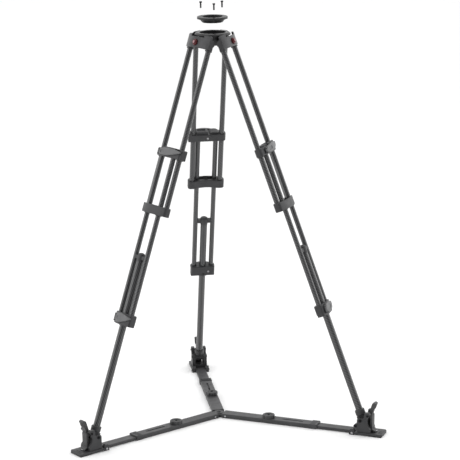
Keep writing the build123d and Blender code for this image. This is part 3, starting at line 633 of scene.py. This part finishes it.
# ------------------------------------------------------------------ clamps and levers
class TRIPOD_OT_clamps(Operator):
    """Finish the castings on the tubes, their lock levers, lever pins and screws"""
    bl_idname = "tripod.clamps"
    bl_label = "Clamps"

    def execute(self, context):
        wear_material(each_leg("bridge", "slider_clamp", "lower_clamp", "tube_guide"), shared(casting_finish))
        wear_material(each_leg("upper_lever", "lower_lever"), shared(lever_finish))
        for leg in LEGS:
            self.lever_pins(leg)
            self.clamp_screws(leg)
        return {"FINISHED"}

    def lever_pins(self, leg):
        """Heads on both ends of each lock lever's pin."""
        base = LEG_FRAMES[leg]
        for which, reach in LEVER_PIN_REACH:
            place = joint_place(f"{leg}_{which}_lever_turn", base)
            bm = bmesh.new()
            for side in (-1, 1):
                end = place + Vector((0, 0, side * reach))
                domed_head(bm, facing(base, end, (0, 0, side)), 3.0 * MM, 1.4 * MM)
            make_piece(f"{leg}_{which}_lever_pin", bm, f"{leg}_middle", shared(steel_finish))

    def clamp_screws(self, leg):
        """Bright screws in the backs of the two clamps."""
        base = LEG_FRAMES[leg]
        head = detail_settings().screw_head
        spots = (
            ("slider_clamp", "upper", 0.0),
            ("lower_clamp", "lower", 22 * MM),
        )
        for casting, which, across in spots:
            back = measured(f"{leg}_{casting}", base)[0].y
            middle = joint_place(f"{leg}_{which}_lever_turn", base).z
            bm = bmesh.new()
            place = facing(base, (across, back, middle), (0, -1, 0))
            socket_screw(bm, place, head, 1.8 * MM)
            make_piece(f"{leg}_{casting}_screw", bm, f"{leg}_middle", shared(steel_finish))
        back = measured(f"{leg}_lower_clamp", base)[0].y
        bm = bmesh.new()
        socket_screw(bm, facing(base, (2 * MM, back, middle - 14 * MM), (0, -1, 0)), 6.4 * MM, 1.0 * MM)
        make_piece(f"{leg}_lower_clamp_bolt", bm, f"{leg}_middle", shared(crown_finish))


# ------------------------------------------------------------------ feet
class TRIPOD_OT_feet(Operator):
    """Finish the ankles, feet, latches and base plates"""
    bl_idname = "tripod.feet"
    bl_label = "Feet"

    def execute(self, context):
        wear_material(each_leg("ankle_socket", "foot"), shared(casting_finish))
        wear_material(each_leg("foot_latch"), shared(spreader_finish))
        wear_material(each_leg("base_plate"), shared(base_plate_finish))
        for leg in LEGS:
            self.pin_heads(leg)
            self.latch_details(leg)
            self.plate_details(leg)
        return {"FINISHED"}

    def pin_heads(self, leg):
        """Steel heads on the ankle pin and the latch pin."""
        base = ARM_FRAMES[leg]
        half = measured(f"{leg}_foot", base)[1].x
        bm = bmesh.new()
        for joint, radius in ((f"{leg}_ankle", 6.0 * MM), (f"{leg}_foot_latch_press", 4.2 * MM)):
            place = joint_place(joint, base)
            for side in (-1, 1):
                end = Vector((side * half, place.y, place.z))
                domed_head(bm, facing(base, end, (side, 0, 0)), radius, 1.2 * MM)
        make_piece(f"{leg}_foot_pin_heads", bm, f"{leg}_foot", shared(black_screw_finish))

    def latch_details(self, leg):
        """Ribs under the thumb on each latch, and a steel hook on its toe."""
        base = ARM_FRAMES[leg]
        pivot = joint_place(f"{leg}_foot_latch_press", base)
        low, high = pivot + Vector((0, 20, 22)) * MM, pivot + Vector((0, 29, 46)) * MM
        along = (high - low).normalized()
        outward = Vector((0, along.z, -along.y))
        ribs = detail_settings().grip_ribs
        bm = bmesh.new()
        for i in range(ribs):
            place = facing(base, low.lerp(high, (i + 0.8) / (ribs + 0.6)), outward)
            start, end = (-9.5 * MM, -0.9 * MM, -0.6 * MM), (9.5 * MM, 0.9 * MM, 1.1 * MM)
            rounded_block(bm, start, end, place, 0.45 * MM)
        make_piece(f"{leg}_latch_grip", bm, f"{leg}_foot_latch", shared(rubber_finish))
        bm = bmesh.new()
        toe = measured(f"{leg}_foot_latch", base)
        tip = Vector((0, toe[1].y, toe[0].z))
        corner = Vector((6.5, 0.7, 0.8)) * MM
        far = Vector((6.5, 5.0, -3.6)) * MM
        start = tip - Vector((corner.x, far.y, -corner.z))
        end = tip + Vector((corner.x, corner.y, -far.z))
        rounded_block(bm, start, end, base, 0.6 * MM, 3)
        make_piece(f"{leg}_latch_hook", bm, f"{leg}_foot_latch", shared(steel_finish))

    def plate_details(self, leg):
        """Arm pin heads, a stop ridge and grip bars on each base plate."""
        base = ARM_FRAMES[leg]
        low, high = measured(f"{leg}_base_plate", base)
        bm = bmesh.new()
        for side in (-1, 1):
            end = Vector((side * high.x, low.y + ARM_PIN_IN, ARM_PIN_UP))
            domed_head(bm, facing(base, end, (side, 0, 0)), 4.6 * MM, 1.2 * MM)
        make_piece(f"{leg}_arm_pin_heads", bm, f"{leg}_arm", shared(steel_finish))
        bm = bmesh.new()
        for back, half, tall in ((17, 16, 2.0), (9, 24, 0.8), (5.5, 24, 0.8)):
            start = (-half * MM, high.y - back * MM, PLATE_TOP - 0.4 * MM)
            finish = (half * MM, high.y - (back - 1.9) * MM, PLATE_TOP + tall * MM)
            rounded_block(bm, start, finish, base, 0.4 * MM)
        make_piece(f"{leg}_plate_ridges", bm, f"{leg}_arm", shared(casting_finish))


# ------------------------------------------------------------------ spreader
class TRIPOD_OT_spreader(Operator):
    """Finish the ground spreader, its collars and its knobs"""
    bl_idname = "tripod.spreader"
    bl_label = "Spreader"

    def execute(self, context):
        wear_material(
            ["spreader_hub", "spreader_channels", "channel_collars", *each_leg("spreader_arm", "lock_knob")],
            shared(spreader_finish),
        )
        wear_material(["hub_pins"], shared(steel_finish))
        self.hub_details()
        for leg in LEGS:
            self.collar_ribs(leg)
            self.knob_details(leg)
        return {"FINISHED"}

    def hub_details(self):
        """A cover screw on the hub and heads on its three pins."""
        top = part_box("spreader_hub")[1].z
        bm = bmesh.new()
        socket_screw(bm, Matrix.Translation((0, 0, top)), 8.5 * MM, 1.6 * MM)
        make_piece("hub_screw", bm, "spreader", shared(black_screw_finish))
        bm = bmesh.new()
        for base in ARM_FRAMES.values():
            for side in (-1, 1):
                end = (side * HUB_PIN_HALF, HUB_PIN_OUT, HUB_PIN_UP)
                domed_head(bm, facing(base, end, (side, 0, 0)), 3.8 * MM, 1.2 * MM)
        make_piece("hub_pin_heads", bm, "spreader", shared(steel_finish))

    def collar_ribs(self, leg):
        """Ribs over the collar at each channel's mouth."""
        base = ARM_FRAMES[leg]
        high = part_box("channel_collars")[1].z
        bm = bmesh.new()
        for back in (20, 15, 10, 5):
            start = (-21 * MM, CHANNEL_END - back * MM, high - 0.5 * MM)
            finish = (21 * MM, CHANNEL_END - (back - 2.2) * MM, high + 0.9 * MM)
            rounded_block(bm, start, finish, base, 0.5 * MM)
        make_piece(f"{leg}_collar_ribs", bm, "spreader", shared(spreader_finish))

    def knob_details(self, leg):
        """A raised ring of teeth and a screw on each lock knob."""
        base = ARM_FRAMES[leg]
        centre = joint_place(f"{leg}_knob_turn", base)
        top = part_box(f"{leg}_lock_knob")[1].z
        teeth = detail_settings().knob_teeth
        bm = bmesh.new()
        for i in range(teeth):
            turn = Matrix.Rotation(2 * pi * i / teeth, 4, "Z")
            place = base @ Matrix.Translation((0, centre.y, top)) @ turn
            start = (13.2 * MM, -0.5 * MM, -0.4 * MM)
            rounded_block(bm, start, (15.6 * MM, 0.5 * MM, 0.6 * MM), place, 0.22 * MM)
        make_piece(f"{leg}_knob_teeth", bm, f"{leg}_knob", shared(rubber_finish))
        bm = bmesh.new()
        recess = 1.2 * MM
        socket_screw(bm, base @ Matrix.Translation((0, centre.y, top - recess)), 5.2 * MM, 1.6 * MM)
        make_piece(f"{leg}_knob_screw", bm, f"{leg}_knob", shared(black_screw_finish))


# ------------------------------------------------------------------ stage
CAMERA_DISTANCE = 7.1729
CAMERA_HEIGHT = 2.5456
CAMERA_ROUND = radians(7.686)       # the camera stands this far clockwise from straight in front
CAMERA_YAW = 0.00755
CAMERA_PITCH = 0.24527
CAMERA_ROLL = -0.01467
CAMERA_LENS = 150.92                # mm, on the default 36 mm sensor


def camera_matrix():
    forward = Vector(
        (sin(CAMERA_YAW) * cos(CAMERA_PITCH), cos(CAMERA_YAW) * cos(CAMERA_PITCH), -sin(CAMERA_PITCH))
    )
    level = forward.cross(UP).normalized()
    upright = level.cross(forward)
    right = level * cos(CAMERA_ROLL) + upright * sin(CAMERA_ROLL)
    up = upright * cos(CAMERA_ROLL) - level * sin(CAMERA_ROLL)
    place = Vector((0, -CAMERA_DISTANCE, CAMERA_HEIGHT))
    return Matrix.Rotation(-CAMERA_ROUND, 4, "Z") @ axes_matrix(right, up, -forward, place)


def add_light(name, place, target, size, watts):
    """A soft box at place, facing target."""
    data = bpy.data.lights.new(name, "AREA")
    data.shape = "RECTANGLE"
    data.size, data.size_y = size
    data.energy = watts
    light = bpy.data.objects.new(name, data)
    bpy.context.scene.collection.objects.link(light)
    aim = (Vector(target) - Vector(place)).to_track_quat("-Z", "Y")
    light.matrix_world = Matrix.Translation(place) @ aim.to_matrix().to_4x4()
    return light


class TRIPOD_OT_stage(Operator):
    """Set the camera, the pale floor and the soft light"""
    bl_idname = "tripod.stage"
    bl_label = "Stage"

    def execute(self, context):
        settings = context.scene.tripod_stage
        context.scene.view_settings.view_transform = "Standard"
        self.camera(context)
        self.floor(settings)
        self.surround(context, settings)
        middle = (0, 0, 0.8)
        add_light("left_box", (-4.2, -0.6, 2.2), middle, (2.4, 4.0), settings.side_light)
        add_light("right_box", (4.2, 0.8, 2.2), middle, (2.4, 4.0), settings.side_light)
        add_light("top_box", (0, 0.5, 5.2), middle, (4.5, 4.5), settings.top_light)
        return {"FINISHED"}

    def camera(self, context):
        data = bpy.data.cameras.new("camera")
        data.lens = CAMERA_LENS
        data.clip_end = 200
        camera = bpy.data.objects.new("camera", data)
        context.scene.collection.objects.link(camera)
        camera.matrix_world = camera_matrix()
        context.scene.camera = camera

    def floor(self, settings):
        reach = 60
        bm = bmesh.new()
        bmesh.ops.create_grid(bm, x_segments=4, y_segments=4, size=reach)
        mesh = bpy.data.meshes.new("floor")
        bm.to_mesh(mesh)
        bm.free()
        floor = bpy.data.objects.new("floor", mesh)
        bpy.context.scene.collection.objects.link(floor)
        recipe = Recipe("studio_floor")
        clouds = recipe.between(recipe.noise(0.6, 2), 0.3, 0.7)
        shown = recipe.mix(clouds, rgba(settings.floor, 0.995), rgba(settings.floor))
        roughness = recipe.between(clouds, 0, 1, 0.85, 0.9)
        normal = recipe.bump(recipe.noise(0.002), 0.02, 0.1 * MM)
        mesh.materials.append(recipe.finish(shown, roughness, normal))

    def surround(self, context, settings):
        """White all round, dimmer from the camera's side."""
        world = bpy.data.worlds.new("studio")
        context.scene.world = world
        world.use_nodes = True
        nodes, links = world.node_tree.nodes, world.node_tree.links
        direction = nodes.new("ShaderNodeTexCoord")
        front = nodes.new("ShaderNodeVectorMath")
        front.operation = "DOT_PRODUCT"
        front.inputs[1].default_value = (-sin(CAMERA_ROUND), -cos(CAMERA_ROUND), 0)
        share = nodes.new("ShaderNodeMapRange")
        share.interpolation_type = "SMOOTHSTEP"
        limits = {"From Min": 0.25, "From Max": 0.95, "To Min": 1.0, "To Max": settings.front_light}
        for name, value in limits.items():
            share.inputs[name].default_value = value
        strength = nodes.new("ShaderNodeMath")
        strength.operation = "MULTIPLY"
        strength.inputs[1].default_value = settings.world_light
        links.new(direction.outputs["Generated"], front.inputs[0])
        links.new(front.outputs["Value"], share.inputs["Value"])
        links.new(share.outputs["Result"], strength.inputs[0])
        links.new(strength.outputs[0], nodes["Background"].inputs["Strength"])
        nodes["Background"].inputs["Color"].default_value = (1, 1, 1, 1)


# ------------------------------------------------------------------ sidebar
BUILD_STEPS = (
    TRIPOD_OT_stage,
    TRIPOD_OT_crown,
    TRIPOD_OT_shoulders,
    TRIPOD_OT_tubes,
    TRIPOD_OT_clamps,
    TRIPOD_OT_feet,
    TRIPOD_OT_spreader,
)


class TRIPOD_PT_build(Panel):
    """Steps that finish the tripod, and their settings"""
    bl_label = "Tripod"
    bl_idname = "TRIPOD_PT_build"
    bl_space_type = "VIEW_3D"
    bl_region_type = "UI"
    bl_category = "Tripod"

    def draw(self, context):
        for step in BUILD_STEPS:
            self.layout.operator(step.bl_idname)
        scene = context.scene
        for settings in (scene.tripod_finish, scene.tripod_detail, scene.tripod_stage):
            column = self.layout.column()
            for name in settings.bl_rna.properties.keys():
                if name not in ("rna_type", "name"):
                    column.prop(settings, name)


CLASSES = (FinishSettings, DetailSettings, StageSettings, *BUILD_STEPS, TRIPOD_PT_build)


def register():
    for cls in CLASSES:
        bpy.utils.register_class(cls)
    bpy.types.Scene.tripod_finish = PointerProperty(type=FinishSettings)
    bpy.types.Scene.tripod_detail = PointerProperty(type=DetailSettings)
    bpy.types.Scene.tripod_stage = PointerProperty(type=StageSettings)


def unregister():
    del bpy.types.Scene.tripod_stage
    del bpy.types.Scene.tripod_detail
    del bpy.types.Scene.tripod_finish
    for cls in reversed(CLASSES):
        bpy.utils.unregister_class(cls)


def main():
    register()
    bpy.ops.tripod.stage()
    bpy.ops.tripod.crown()
    bpy.ops.tripod.shoulders()
    bpy.ops.tripod.tubes()
    bpy.ops.tripod.clamps()
    bpy.ops.tripod.feet()
    bpy.ops.tripod.spreader()


if __name__ == "__main__":
    main()
